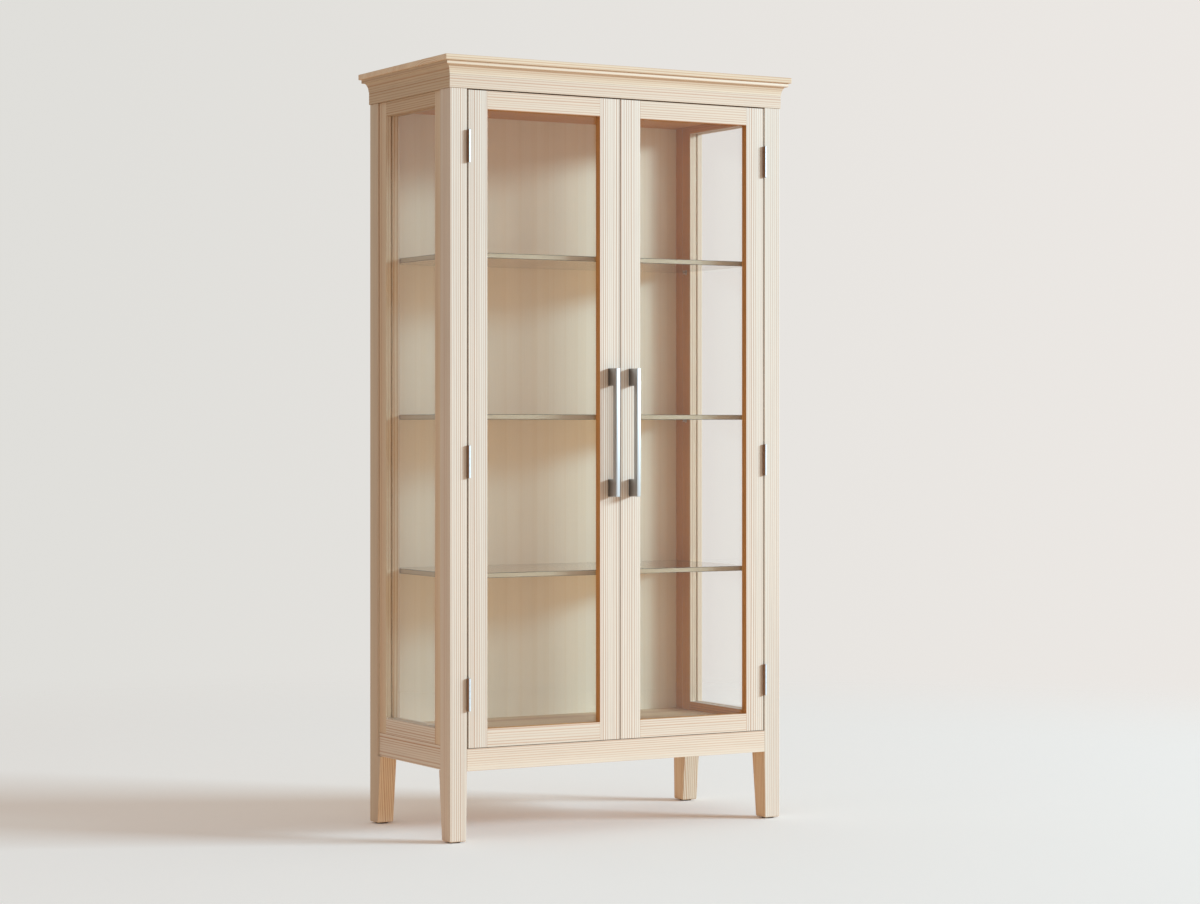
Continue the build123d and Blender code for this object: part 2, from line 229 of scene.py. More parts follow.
def pine(name, grain, low, high, shadeAmber=None, **changes):
    # Quarter-sawn pine, planed and given a thin matt varnish: pale, with fine straight lines along the
    # board, and a soft sheen that the lines break up. The rings lie round a pith outside the board.
    # The face towards the opening or the inside may take a painted amber shade, for the warm shade there.
    # This
    # argument is (axis, sign, plane): that face lies at this coordinate and looks along sign times the axis.
    look = {**pineLook, **changes}
    chance = random.Random(name)
    material, tree = newTree(name)
    along = "XYZ".index(grain)
    pith = (Vector(low) + Vector(high)) / 2
    for axis in range(3):
        if axis != along:
            pith[axis] += chance.choice((-1, 1)) * chance.uniform(*look["pithAway"])

    def stretched(vector, acrossScale, alongScale):
        scales = [alongScale if axis == along else acrossScale for axis in range(3)]
        return addNode(tree, "ShaderNodeVectorMath", {"operation": "MULTIPLY"}, input0=vector, input1=scales)

    place = addNode(tree, "ShaderNodeTexCoord").outputs["Object"]
    fromPith = addNode(tree, "ShaderNodeVectorMath", {"operation": "SUBTRACT"}, input0=place, input1=pith)
    slow = stretched(fromPith, 1.0, look["alongShare"])
    flat = stretched(fromPith, 1.0, 0.0)
    radius = addNode(tree, "ShaderNodeVectorMath", {"operation": "LENGTH"}, input0=flat).outputs["Value"]
    stray = addNode(tree, "ShaderNodeTexNoise", Vector=slow, Scale=look["bends"], Detail=2.0, Roughness=0.45)
    wander = addNode(
        tree, "ShaderNodeMath", {"operation": "MULTIPLY_ADD"}, input0=stray, input1=look["wander"] * 2,
        input2=radius,
    )
    years = addNode(
        tree, "ShaderNodeTexNoise", {"noise_dimensions": "1D"}, W=wander, Scale=look["years"], Detail=1.0
    )
    turns = addNode(
        tree, "ShaderNodeMath", {"operation": "MULTIPLY_ADD"}, input0=wander, input1=1 / look["ringWidth"],
        input2=years,
    )
    phase = addNode(tree, "ShaderNodeMath", {"operation": "FRACT"}, input0=turns)
    # One year's ring: (place, greyness), pale in spring and dark before the winter.
    greys = [(0.0, 0.10), (0.12, 0.0), (0.50, 0.12), (0.82, 1.0), (0.93, 1.0), (1.0, 0.10)]
    stops = [(step, (grey, grey, grey, 1)) for step, grey in greys]
    line = rampStops(addNode(tree, "ShaderNodeValToRGB", Fac=phase), stops)
    strength = addNode(
        tree, "ShaderNodeTexNoise", {"noise_dimensions": "1D"}, W=wander, Scale=look["strengths"], Detail=2.0
    )
    strong = addNode(
        tree, "ShaderNodeMapRange", Value=strength, **plainNoise, To_Min=look["weakLine"],
        To_Max=look["lineStrength"],
    )
    late = addNode(tree, "ShaderNodeMath", {"operation": "MULTIPLY"}, input0=line, input1=strong)
    fibre = addNode(
        tree, "ShaderNodeTexNoise", Vector=stretched(fromPith, *look["fibres"]), Scale=3.0, Detail=3.0,
        Roughness=0.6,
    )
    cloud = addNode(tree, "ShaderNodeTexNoise", Vector=slow, Scale=look["clouds"], Detail=1.0)

    tone = 1 + chance.uniform(-1, 1) * look["toneSpread"]
    warmth = 1 + chance.uniform(-1, 1) * look["toneSpread"] * look["warmthSpread"]

    def woodColour(earlyName, lateName):
        shades = [
            [c * k for c, k in zip(linearColour(look[which]), (tone * warmth, tone, tone / warmth, 1))]
            for which in (earlyName, lateName)
        ]
        return addNode(
            tree, "ShaderNodeMix", {"data_type": "RGBA"}, input0=late, input6=shades[0], input7=shades[1]
        ).outputs[2]

    colour = woodColour("early", "late")
    # Painted shade: the amber tone on the face towards the opening or the inside.
    if shadeAmber:
        axis, sign, plane = shadeAmber
        coordinate = addNode(tree, "ShaderNodeSeparateXYZ", input0=place).outputs[axis]
        shadeAmberShare = addNode(
            tree, "ShaderNodeMapRange", Value=coordinate, From_Min=plane - sign * look["shadeAmberDepth"],
            From_Max=plane,
        )
        colour = addNode(
            tree, "ShaderNodeMix", {"data_type": "RGBA"}, input0=shadeAmberShare, input6=colour,
            input7=woodColour("shadeAmberEarly", "shadeAmberLate"),
        ).outputs[2]
    shade = addNode(
        tree, "ShaderNodeMapRange", Value=fibre, **fineNoise, To_Min=1 - look["fibre"],
        To_Max=1 + look["fibre"],
    )
    darkest, lightest = look["cloudTone"]
    drift = addNode(tree, "ShaderNodeMapRange", Value=cloud, **plainNoise, To_Min=darkest, To_Max=lightest)
    both = addNode(tree, "ShaderNodeMath", {"operation": "MULTIPLY"}, input0=shade, input1=drift)
    finalColour = addNode(tree, "ShaderNodeVectorMath", {"operation": "SCALE"}, input0=colour, Scale=both)
    smoothest, roughest = look["roughness"]
    rough = addNode(tree, "ShaderNodeMapRange", Value=fibre, **fineNoise, To_Min=smoothest, To_Max=roughest)
    ridge = addNode(
        tree, "ShaderNodeMath", {"operation": "MULTIPLY_ADD"}, input0=late, input1=look["lineRise"],
        input2=fibre,
    )
    bump = addNode(
        tree, "ShaderNodeBump", Height=ridge, Strength=look["relief"], Distance=look["reliefDepth"]
    )
    shader = addNode(
        tree, "ShaderNodeBsdfPrincipled", Base_Color=finalColour, Roughness=rough, Normal=bump,
        Specular_IOR_Level=look["gloss"],
    )
    addNode(tree, "ShaderNodeOutputMaterial", Surface=shader)
    return material


glassLook = {
    "pane": {"index": 1.45, "lampTint": "#E2E4E2", "bounceTint": "#FFFFFF"},     # coated, so it mirrors less
    "shelf": {"index": 1.5, "lampTint": "#EFE3CF", "bounceTint": "#F4EADA"},
    "shelfBody": {"tint": "#CFAA6B", "density": 25.0},     # light bronze, stronger along a longer way
}


def clearGlass(name, kind, body=None):
    # Float glass: flat, clear and hard, so it shows sharp reflections only at a slant. Light from the lamp
    # and light that other surfaces throw pass straight through, each dimmed by its own tint.
    look = glassLook[kind]
    material, tree = newTree(name)
    rays = addNode(tree, "ShaderNodeLightPath").outputs
    glass = addNode(
        tree, "ShaderNodeBsdfPrincipled", Base_Color=linearColour("#FFFFFF"), Roughness=0.0,
        IOR=look["index"], Transmission_Weight=1.0,
    )
    lampLight, bounceLight = (
        addNode(tree, "ShaderNodeBsdfTransparent", Color=linearColour(look[tint]))
        for tint in ("lampTint", "bounceTint")
    )
    soft = addNode(
        tree, "ShaderNodeMixShader", input0=rays["Is Diffuse Ray"], input1=glass, input2=bounceLight
    )
    mixed = addNode(tree, "ShaderNodeMixShader", input0=rays["Is Shadow Ray"], input1=soft, input2=lampLight)
    output = addNode(tree, "ShaderNodeOutputMaterial", Surface=mixed)
    if body:
        tinted = addNode(
            tree, "ShaderNodeVolumeAbsorption", Color=linearColour(body["tint"]), Density=body["density"]
        )
        tree.links.new(tinted.outputs[0], output.inputs["Volume"])
    return material


groundLook = {
    "dark": "#AE9B7E",
    "pale": "#C2AF92",
    "grit": 900.0,            # grains per metre, coarse enough to show
    "roughness": (0.35, 0.5),
    "relief": 0.3,
    "reliefDepth": 0.1 * mm,
}


def groundEdge(name):
    # The ground edge of a glass shelf: matt and milky, so it looks pale where light meets it.
    material, tree = newTree(name)
    place = addNode(tree, "ShaderNodeTexCoord").outputs["Object"]
    look = groundLook
    grit = addNode(tree, "ShaderNodeTexNoise", Vector=place, Scale=look["grit"], Detail=2.0)
    colour = addNode(
        tree, "ShaderNodeMix", {"data_type": "RGBA"}, input0=grit, input6=linearColour(look["dark"]),
        input7=linearColour(look["pale"]),
    ).outputs[2]
    smoothest, roughest = look["roughness"]
    rough = addNode(tree, "ShaderNodeMapRange", Value=grit, To_Min=smoothest, To_Max=roughest)
    bump = addNode(
        tree, "ShaderNodeBump", Height=grit, Strength=look["relief"], Distance=look["reliefDepth"]
    )
    shader = addNode(tree, "ShaderNodeBsdfPrincipled", Base_Color=colour, Roughness=rough, Normal=bump)
    addNode(tree, "ShaderNodeOutputMaterial", Surface=shader)
    return material


steelLook = {
    "acrossLines": 2600.0,    # per metre: hair lines of about 0.4 mm, coarse enough to show
    "alongLines": 18.0,
    "relief": 0.15,
    "reliefDepth": 0.05 * mm,
    "handle": {"colour": "#C6C6C6", "rough": (0.42, 0.5), "shade": "#5E5B5A"},
    "hinge": {"colour": "#C2C3C7", "rough": (0.44, 0.54), "shade": "#A07A5E"},
    "pin": {"colour": "#D8CDBC", "rough": (0.35, 0.45)},
    "handleShade": 28 * mm,                 # the feet darken over this depth towards the door
    "hingeShade": (0.9 * mm, 1.9 * mm),     # left of the pin's middle, where the shade starts and is full
}


def brushedSteel(name, kind, streakAxis, shaded=None):
    # Stainless steel finished with a fine belt: bright, with hair lines along the bar that blur reflections.
    # shaded = (axis, span, from, to) darkens it along that axis, where it mirrors the shade of the wood near
    # it. Places span apart along the axis are treated alike, which serves both doors with one steel.
    look = steelLook[kind]
    material, tree = newTree(name)
    place = addNode(tree, "ShaderNodeTexCoord").outputs["Object"]
    stretch = [steelLook["acrossLines"]] * 3
    stretch["XYZ".index(streakAxis)] = steelLook["alongLines"]
    lines = addNode(tree, "ShaderNodeVectorMath", {"operation": "MULTIPLY"}, input0=place, input1=stretch)
    hair = addNode(tree, "ShaderNodeTexNoise", Vector=lines, Scale=1.0, Detail=2.0)
    smoothest, roughest = look["rough"]
    rough = addNode(tree, "ShaderNodeMapRange", Value=hair, **fineNoise, To_Min=smoothest, To_Max=roughest)
    bump = addNode(
        tree, "ShaderNodeBump", Height=hair, Strength=steelLook["relief"], Distance=steelLook["reliefDepth"]
    )
    tint = linearColour(look["colour"])
    if shaded:
        axis, span, start, end = shaded
        along = addNode(tree, "ShaderNodeSeparateXYZ", input0=place).outputs[axis]
        folded = addNode(
            tree, "ShaderNodeMath", {"operation": "WRAP"}, input0=along, input1=span, input2=0.0
        )
        share = addNode(tree, "ShaderNodeMapRange", Value=folded, From_Min=start % span, From_Max=end % span)
        tint = addNode(
            tree, "ShaderNodeMix", {"data_type": "RGBA"}, input0=share, input6=tint,
            input7=linearColour(look["shade"]),
        ).outputs[2]
    shader = addNode(
        tree, "ShaderNodeBsdfPrincipled", Base_Color=tint, Metallic=1.0, Roughness=rough, Normal=bump
    )
    addNode(tree, "ShaderNodeOutputMaterial", Surface=shader)
    return material


feltLook = {
    "dark": "#2A2320",
    "pale": "#4A4039",
    "fuzz": 1400.0,           # hairs per metre
    "roughness": 0.95,
    "sheen": 0.3,
    "relief": 0.6,
    "reliefDepth": 0.4 * mm,
}


def pressedFelt(name):
    # Dark wool felt: no gloss, with a short fuzz that lightens at grazing angles.
    material, tree = newTree(name)
    place = addNode(tree, "ShaderNodeTexCoord").outputs["Object"]
    look = feltLook
    fuzz = addNode(tree, "ShaderNodeTexNoise", Vector=place, Scale=look["fuzz"], Detail=3.0)
    colour = addNode(
        tree, "ShaderNodeMix", {"data_type": "RGBA"}, input0=fuzz, input6=linearColour(look["dark"]),
        input7=linearColour(look["pale"]),
    ).outputs[2]
    bump = addNode(
        tree, "ShaderNodeBump", Height=fuzz, Strength=look["relief"], Distance=look["reliefDepth"]
    )
    shader = addNode(
        tree, "ShaderNodeBsdfPrincipled", Base_Color=colour, Roughness=look["roughness"],
        Sheen_Weight=look["sheen"], Normal=bump,
    )
    addNode(tree, "ShaderNodeOutputMaterial", Surface=shader)
    return material


paneGlass = clearGlass("coatedPaneGlass", "pane")
shelfGlass = clearGlass("bronzeTintedGlass", "shelf", glassLook["shelfBody"])
shelfEdge = groundEdge("groundGlassEdge")
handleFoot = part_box("left_handle")[1].y
handleSteel = brushedSteel(
    "brushedHandleSteel", "handle", "Z", (1, 1.0, handleFoot - steelLook["handleShade"], handleFoot)
)
hingeX = max(j["pos_m"][0] for j in frame["joints"])
shadeStart, shadeEnd = (hingeX - away for away in steelLook["hingeShade"])
hingeSteel = brushedSteel("plainHingeSteel", "hinge", "Z", (0, 2 * hingeX, shadeStart, shadeEnd))
pinSteel = brushedSteel("nickelPinSteel", "pin", "X")
felt = pressedFelt("darkFelt")
print("materials made")


# Carcass

postLook = {
    "ease": 1.4 * mm,
    "upperDepth": {"front": 52 * mm, "rear": 43 * mm},
    "apronLevel": 168 * mm,
    "foot": 43 * mm,          # the leg's side at the floor
    "footChamfer": 2 * mm,
    "facing": 0.9,            # least cosine at which a face counts as facing inwards
}


def cornerPost(end, side):
    # Square above the apron; below it the two inner faces lean in to a smaller foot. The shaded one of them
    # takes a painted shade: a warm tone of its own.
    node = f"{end}_{side}_post"
    low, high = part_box(node)
    outerX, inwardX = (low.x, 1) if side == "left" else (high.x, -1)
    outerY, inwardY = (low.y, 1) if end == "front" else (high.y, -1)
    width, legDepth = high.x - low.x, high.y - low.y
    foot, chamfer = postLook["foot"], postLook["footChamfer"]
    apronLevel, upperDepth = postLook["apronLevel"], postLook["upperDepth"][end]
    steps = [
        (low.z, chamfer, foot - chamfer, foot - chamfer),
        (low.z + chamfer, 0, foot, foot),
        (apronLevel, 0, width, legDepth),
        (apronLevel, 0, width, upperDepth),
        (high.z, 0, width, upperDepth),
    ]
    sections = []
    for z, inset, wide, deep in steps:
        nearX, farX = outerX + inwardX * inset, outerX + inwardX * wide
        nearY, farY = outerY + inwardY * inset, outerY + inwardY * deep
        sections.append([(nearX, nearY, z), (farX, nearY, z), (farX, farY, z), (nearX, farY, z)])
    bm = sweepSections(sections)
    easeEdges(bm, postLook["ease"])
    name = f"{end}{side.capitalize()}Post"
    # Painted amber shade goes on the rear posts' inner faces. The front posts' inner faces only show in the
    # gaps beside the doors, so they are left pale.
    shadeAmber = (0, inwardX, outerX + inwardX * width) if end == "rear" else None
    # painted shade: the rear posts take a darker tone
    tone = rearShadeTone if end == "rear" else {}
    bm.normal_update()
    # painted shade: the shaded inner face of the leg takes its own warm material
    for face in bm.faces:
        inward = face.normal.x * inwardX if side == "right" else face.normal.y * inwardY
        onLeg = face.calc_center_median().z < apronLevel
        face.material_index = int(onLeg and inward > postLook["facing"])
    post = makePiece(name, bm, pine(name + "Pine", "Z", low, high, shadeAmber, **tone), node)
    post.data.materials.append(pine(name + "LegPine", "Z", low, high, **legShadeTone))


for end in ("front", "rear"):
    for side in sides:
        cornerPost(end, side)


glideLook = {"radius": 15 * mm, "ease": 0.6 * mm, "steps": 48}


def footGlides():
    low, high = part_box("foot_glides")
    radius = glideLook["radius"]
    discs = []
    for x in (low.x + radius, high.x - radius):
        for y in (low.y + radius, high.y - radius):
            bm = bmesh.new()
            bmesh.ops.create_cone(
                bm, cap_ends=True, segments=glideLook["steps"], radius1=radius, radius2=radius,
                depth=high.z - low.z,
            )
            bmesh.ops.translate(bm, vec=(x, y, (low.z + high.z) / 2), verts=bm.verts)
            easeEdges(bm, glideLook["ease"], angle=60)
            discs.append(bm)
    makePiece("footGlides", discs, felt, "foot_glides", smooth=40)


footGlides()


boardLook = {
    "frontApronEase": 0.6 * mm,     # kept sharp, so that the line under the doors stays thin
    "apronEase": 1.2 * mm,
    "topEase": 1.6 * mm,
    "topGloss": 0.0,                # left unvarnished
}


def easedBoard(name, node, grain, ease, **changes):
    low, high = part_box(node)
    bm = boxMesh(low, high)
    easeEdges(bm, ease)
    makePiece(name, bm, pine(name + "Pine", grain, low, high, **changes), node)


easedBoard("frontApron", "front_apron", "X", boardLook["frontApronEase"], **apronTone)
easedBoard("rearApron", "rear_apron", "X", boardLook["apronEase"])
for side in sides:
    easedBoard(f"{side}Apron", f"{side}_apron", "Y", boardLook["apronEase"])
easedBoard("topBoard", "top_board", "X", boardLook["topEase"], **crownTone, gloss=boardLook["topGloss"])
print("posts, aprons and top made")


sideLook = {
    "ease": 1.0 * mm,
    "grooveWidth": 5.5 * mm,
    "grooveDepth": 7 * mm,
}


def grooved(node, side, facing):
    # A side stile or rail, with the groove for the pane in the face that looks into the opening. facing is
    # where that face lies: back, front, up or down.
    low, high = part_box(node)
    paneLow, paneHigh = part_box(f"{side}_side_glass")
    middle = (paneLow.x + paneHigh.x) / 2
    near, far = middle - sideLook["grooveWidth"] / 2, middle + sideLook["grooveWidth"] / 2
    a, b = (low.y, high.y) if facing in ("back", "front") else (low.z, high.z)
    if facing in ("front", "down"):
        a, b = b, a
    depth = math.copysign(sideLook["grooveDepth"], b - a)
    outline = [
        (low.x, a), (high.x, a), (high.x, b), (far, b), (far, b - depth), (near, b - depth), (near, b),
        (low.x, b),
    ]
    if facing in ("back", "front"):
        return sweepSections([[(x, y, z) for x, y in outline] for z in (low.z, high.z)]), low, high
    return sweepSections([[(x, y, z) for x, z in outline] for y in (low.y, high.y)]), low, high


sidePieces = {
    "FrontStile": ("side_front_stile", "back", "Z"),
    "RearStile": ("side_rear_stile", "front", "Z"),
    "TopRail": ("side_top_rail", "down", "Y"),
    "BottomRail": ("side_bottom_rail", "up", "Y"),
}
for side in sides:
    for label, (node, facing, grain) in sidePieces.items():
        bm, low, high = grooved(f"{side}_{node}", side, facing)
        easeEdges(bm, sideLook["ease"])
        name = f"{side}Side{label}"
        # painted shade: amber on the face towards the opening
        inner = high.x if side == "left" else low.x
        shadeAmber = (0, -sides[side], inner)
        # painted shade: the stiles and the top rail take darker tones; the bottom rail, lit from the floor,
        # keeps the plain one
        tone = {"TopRail": upperSideShadeTone, "BottomRail": {}}.get(label, sideShadeTone)
        makePiece(name, bm, pine(name + "Pine", grain, low, high, shadeAmber, **tone), f"{side}_{node}")
    dressNode(f"{side}_side_glass", paneGlass)
print("glazed sides made")


# Frieze and crown, mitred round the four corners

crownLook = {
    "friezeEase": 0.5 * mm,
    "mouldingEase": 0.6 * mm,
    "friezeThickness": 40 * mm,
    "friezeReach": 2 * mm,
    "lip": 3 * mm,             # where the cove starts, out from the posts' faces
    "coveTop": 10 * mm,
    "coveSag": 2.9 * mm,
    "coveSagLevel": 12.5 * mm,
    "band": 16 * mm,
    "bandHeight": 9 * mm,
    "coveSteps": 14,
}


def mitredRun(outline, wall, side):
    # outline holds (out from the wall, height) pairs. Each end is cut at 45 degrees by moving its points out
    # as far as they stand from the wall.
    (x0, y0), (x1, y1) = wall

    def point(out, z, end):
        x = x1 + out if end else x0 - out
        y = y1 + out if end else y0 - out
        places = {
            "front": (x, y0 - out), "rear": (x, y1 + out), "left": (x0 - out, y), "right": (x1 + out, y),
        }
        return (*places[side], z)

    return sweepSections([[point(out, z, end) for out, z in outline] for end in (0, 1)])


def arcThrough(start, middle, finish, steps):
    # Points on the circle through three points.
    (ax, ay), (bx, by), (cx, cy) = start, middle, finish
    d = 2 * (ax * (by - cy) + bx * (cy - ay) + cx * (ay - by))
    ux = ((ax**2 + ay**2) * (by - cy) + (bx**2 + by**2) * (cy - ay) + (cx**2 + cy**2) * (ay - by)) / d
    uy = ((ax**2 + ay**2) * (cx - bx) + (bx**2 + by**2) * (ax - cx) + (cx**2 + cy**2) * (bx - ax)) / d
    radius = math.hypot(ax - ux, ay - uy)
    first, last = math.atan2(ay - uy, ax - ux), math.atan2(cy - uy, cx - ux)
    turn = (last - first + math.pi) % (2 * math.pi) - math.pi
    return [
        (ux + radius * math.cos(first + turn * i / steps), uy + radius * math.sin(first + turn * i / steps))
        for i in range(steps + 1)
    ]


def crown():
    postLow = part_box("front_left_post")[0]
    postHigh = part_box("rear_right_post")[1]
    wall = ((postLow.x, postLow.y), (postHigh.x, postHigh.y))
    look = crownLook
    for side in ("front", "rear", "left", "right"):
        grain = "X" if side in ("front", "rear") else "Y"
        low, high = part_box(f"{side}_frieze")
        reach, back = look["friezeReach"], look["friezeReach"] - look["friezeThickness"]
        board = mitredRun([(back, low.z), (reach, low.z), (reach, high.z), (back, high.z)], wall, side)
        easeEdges(board, look["friezeEase"])
        name = f"{side}Frieze"
        # painted shade: the frieze and crown away from the front are darker
        tones = (railTone, crownTone) if side == "front" else (upperSideShadeTone, upperSideShadeTone)
        makePiece(name, board, pine(name + "Pine", grain, low, high, **tones[0]), f"{side}_frieze")

        low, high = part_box(f"{side}_crown_moulding")
        bandLow = high.z - look["bandHeight"]
        cove = arcThrough(
            (look["lip"], low.z), (reach + look["coveSag"], low.z + look["coveSagLevel"]),
            (look["coveTop"], bandLow), look["coveSteps"],
        )
        outline = [(reach, low.z), *cove, (look["band"], bandLow), (look["band"], high.z), (reach, high.z)]
        moulding = mitredRun(outline, wall, side)
        easeEdges(moulding, look["mouldingEase"])
        name = f"{side}CrownMoulding"
        material = pine(name + "Pine", grain, low, high, **tones[1])
        makePiece(name, moulding, material, f"{side}_crown_moulding", smooth=20)


crown()
print("frieze and crown made")


# Inside

# painted shade: the floor panel and the ceiling panel take warm, darker tones
for node, tone in (("floor_panel", floorPanelShadeTone), ("ceiling_panel", insideShadeTone)):
    low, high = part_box(node)
    dressNode(node, pine(node + "Pine", "X", low, high, **tone))
low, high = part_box("back_panel")
dressNode("back_panel", pine("backBoardVeneer", "Z", low, high, **veneer))

shelfLook = {
    "arris": 1.0 * mm,
    "level": 0.3,     # a face whose normal rises less than this belongs to the edge
}
for level in ("lower", "middle", "upper"):
    low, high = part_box(f"{level}_shelf")
    bm = boxMesh(low, high)
    easeEdges(bm, shelfLook["arris"])
    for face in bm.faces:
        face.material_index = int(abs(face.normal.z) < shelfLook["level"])
    shelf = makePiece(f"{level}GlassShelf", bm, shelfGlass, f"{level}_shelf")
    shelf.data.materials.append(shelfEdge)


def turned(outline, place, turn, steps=24):
    # A body of revolution from (radius, height) pairs on its own Z axis, turned by turn, an (angle, axis)
    # pair or None, and put in place.
    bm = bmesh.new()
    verts = [bm.verts.new((r, 0, z)) for r, z in outline]
    edges = [bm.edges.new(pair) for pair in zip(verts, verts[1:])]
    bmesh.ops.spin(
        bm, geom=verts + edges, cent=(0, 0, 0), axis=(0, 0, 1), angle=math.tau, steps=steps, use_merge=True
    )
    bmesh.ops.remove_doubles(bm, verts=bm.verts, dist=fineWeld)
    bmesh.ops.recalc_face_normals(bm, faces=bm.faces)
    if turn:
        angle, axis = turn
        rotation = Matrix.Rotation(math.radians(angle), 3, axis)
        bmesh.ops.rotate(bm, cent=(0, 0, 0), matrix=rotation, verts=bm.verts)
    bmesh.ops.translate(bm, vec=place, verts=bm.verts)
    return bm


pinLook = {
    "radius": 2.5 * mm,
    "length": 18 * mm,
    "inWood": 9 * mm,
    "collar": 4.5 * mm,
    "collarWidth": 1.5 * mm,
    "collarChamfer": 0.3 * mm,
    "noseFrom": 0.8 * mm,      # the nose starts to narrow here, before the tip
    "noseTo": 0.2 * mm,
    "noseRadius": 0.7,         # of the pin's radius
}


def shelfPins():
    look = pinLook
    r, c, w, cut = look["radius"], look["collar"], look["collarWidth"], look["collarChamfer"]
    tip, root = look["length"] - look["inWood"], -look["inWood"]
    outline = [
        (0, root), (r, root), (r, 0), (c - cut, 0), (c, cut), (c, w - cut), (c - cut, w), (r, w),
        (r, tip - look["noseFrom"]), (r * look["noseRadius"], tip - look["noseTo"]), (0, tip),
    ]
    pins = []
    for level in ("lower", "middle", "upper"):
        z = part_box(f"{level}_shelf")[0].z - r
        for side, sign in sides.items():
            for end in ("front", "rear"):
                low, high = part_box(f"{side}_side_{end}_stile")
                inner = high.x if side == "left" else low.x
                pins.append(turned(outline, (inner, (low.y + high.y) / 2, z), (-90 * sign, "Y")))
    makePiece("shelfPins", pins, pinSteel, "shelf_pins", smooth=35)


shelfPins()
print("inside made")


# Doors

doorLook = {
    "ease": 0.5 * mm,
    "reveal": 14 * mm,     # from the front face to the glass
    "rebate": 8 * mm,
    "beadEase": 1.0 * mm,
    "beadPlay": 0.2 * mm,
}


def doorStile(side, which):
    # Full section at both ends, and a step behind the opening for the pane and its beads.
    node = f"{side}_door_{which}_stile"
    low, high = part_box(node)
    paneLow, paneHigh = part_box(f"{side}_door_beads")
    inward = sides[side] if which == "meeting" else -sides[side]
    outer, inner = (low.x, high.x) if inward == 1 else (high.x, low.x)
    step = inner - inward * doorLook["rebate"]
    front, back, glass = low.y, high.y, low.y + doorLook["reveal"]

    def section(z, cornerX, cornerY):
        return [
            (outer, front, z), (inner, front, z), (inner, glass, z), (cornerX, cornerY, z), (step, back, z),
            (outer, back, z),
        ]

    bm = sweepSections([
        section(low.z, inner, back), section(paneLow.z, inner, back), section(paneLow.z, step, glass),
        section(paneHigh.z, step, glass), section(paneHigh.z, inner, back), section(high.z, inner, back),
    ])
    easeEdges(bm, doorLook["ease"])
    name = f"{side}Door{which.capitalize()}Stile"
    # painted shade: amber on the stile's face towards the opening
    shadeAmber = (0, inward, inner)
    makePiece(name, bm, pine(name + "Pine", "Z", low, high, shadeAmber), node)


def doorRail(side, which):
    node = f"{side}_door_{which}_rail"
    low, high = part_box(node)
    edge, outer, upward = (high.z, low.z, 1) if which == "bottom" else (low.z, high.z, -1)
    step = edge - upward * doorLook["rebate"]
    glass = low.y + doorLook["reveal"]
    outline = [(low.y, outer), (low.y, edge), (glass, edge), (glass, step), (high.y, step), (high.y, outer)]
    bm = sweepSections([[(x, y, z) for y, z in outline] for x in (low.x, high.x)])
    easeEdges(bm, doorLook["ease"])
    name = f"{side}Door{which.capitalize()}Rail"
    # painted shade: amber on the rail's face towards the opening
    shadeAmber = (2, upward, edge)
    tone = railTone if which == "top" else apronTone
    makePiece(name, bm, pine(name + "Pine", "X", low, high, shadeAmber, **tone), node)


def doorBeads(side):
    # Four thin strips behind the pane, the level ones cut to fit between the upright ones.
    low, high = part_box(f"{side}_door_beads")
    w, play = doorLook["rebate"], doorLook["beadPlay"]
    strips = [
        ((low.x, low.z), (low.x + w, high.z)), ((high.x - w, low.z), (high.x, high.z)),
        ((low.x + w + play, low.z), (high.x - w - play, low.z + w)),
        ((low.x + w + play, high.z - w), (high.x - w - play, high.z)),
    ]
    parts = []
    for (x0, z0), (x1, z1) in strips:
        bm = boxMesh((x0, low.y, z0), (x1, high.y, z1))
        easeEdges(bm, doorLook["beadEase"])
        parts.append(bm)
    name = f"{side}DoorBeads"
    # painted shade: the beads take the amber all over
    makePiece(name, parts, pine(name + "Pine", "Z", low, high, **insideShadeTone), f"{side}_door_beads")


for side in sides:
    doorStile(side, "hinge")
    doorStile(side, "meeting")
    doorRail(side, "top")
    doorRail(side, "bottom")
    doorBeads(side)
    dressNode(f"{side}_door_glass", paneGlass)
print("doors made")


# Handles, hinges and small metal

handleLook = {"barDepth": 16 * mm, "footHeight": 42 * mm, "ease": 1.0 * mm}


def barHandle(side):
    low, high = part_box(f"{side}_handle")
    back, foot = low.y + handleLook["barDepth"], handleLook["footHeight"]
    outline = [
        (low.y, low.z), (high.y, low.z), (high.y, low.z + foot), (back, low.z + foot),
        (back, high.z - foot), (high.y, high.z - foot), (high.y, high.z), (low.y, high.z),
    ]
    bm = sweepSections([[(x, y, z) for y, z in outline] for x in (low.x, high.x)])
    easeEdges(bm, handleLook["ease"], segments=3)
    makePiece(f"{side}BarHandle", bm, handleSteel, f"{side}_handle", smooth=30)


hingeLook = {
    "length": 76 * mm,
    "knuckles": 5,             # the frame's and the door's in turn
    "gap": 0.3 * mm,
    "radius": 4.5 * mm,
    "knuckleSteps": 28,
    "leaf": 1.6 * mm,
    "plateInset": 0.1 * mm,    # the plate starts this far behind the posts' front face
    "ease": 0.3 * mm,
    "pinRadius": 2.5 * mm,
    "pinHead": 4.0 * mm,
    "pinHeadHeight": 0.8 * mm,
}
joint = {j["child"].split("_")[0]: j["pos_m"] for j in frame["joints"]}
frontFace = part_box("front_left_post")[0].y


def hingeLevels():
    low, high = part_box("frame_hinge_leaves")
    half = hingeLook["length"] / 2
    return [low.z + half, joint["left"][2], high.z - half]


